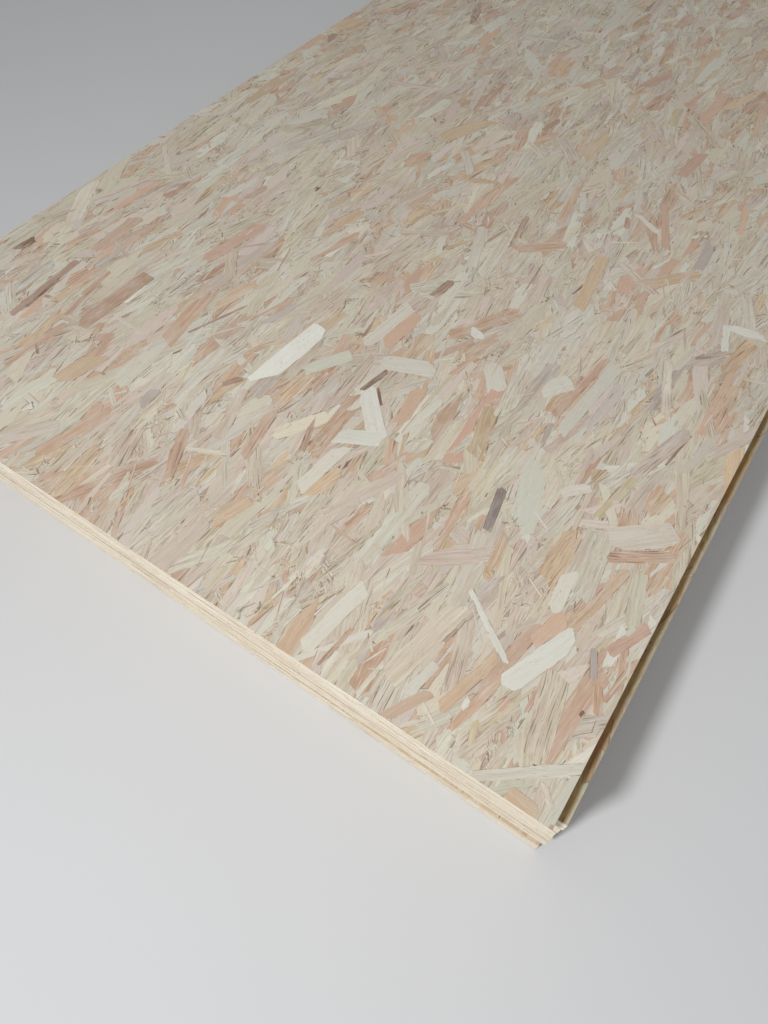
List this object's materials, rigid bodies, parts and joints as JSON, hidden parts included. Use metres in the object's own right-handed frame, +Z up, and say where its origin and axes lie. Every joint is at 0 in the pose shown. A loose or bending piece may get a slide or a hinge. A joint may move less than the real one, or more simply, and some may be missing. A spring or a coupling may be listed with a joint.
{
  "type": "stack of osb panels",
  "caption": "Low stack of large square-edged oriented strand board sheets lying flat, a little out of line with each other at the edges.",
  "frame": {"origin": "middle of the bottom sheet's underside, which is what the stack rests on", "axes": "+X along the sheets' length, +Y across their width, +Z up"},
  "size_m": [2.5253, 1.2771, 0.154],
  "materials": {
    "strand_board": "pressed wood strands in mixed straw, cream and tan, satin with resin; sawn edges paler and matt"
  },
  "bodies": {
    "root": {"panel_1": "strand_board", "panel_2": "strand_board", "panel_3": "strand_board", "panel_4": "strand_board", "panel_5": "strand_board", "panel_6": "strand_board", "panel_7": "strand_board"}
  },
  "joints": []
}
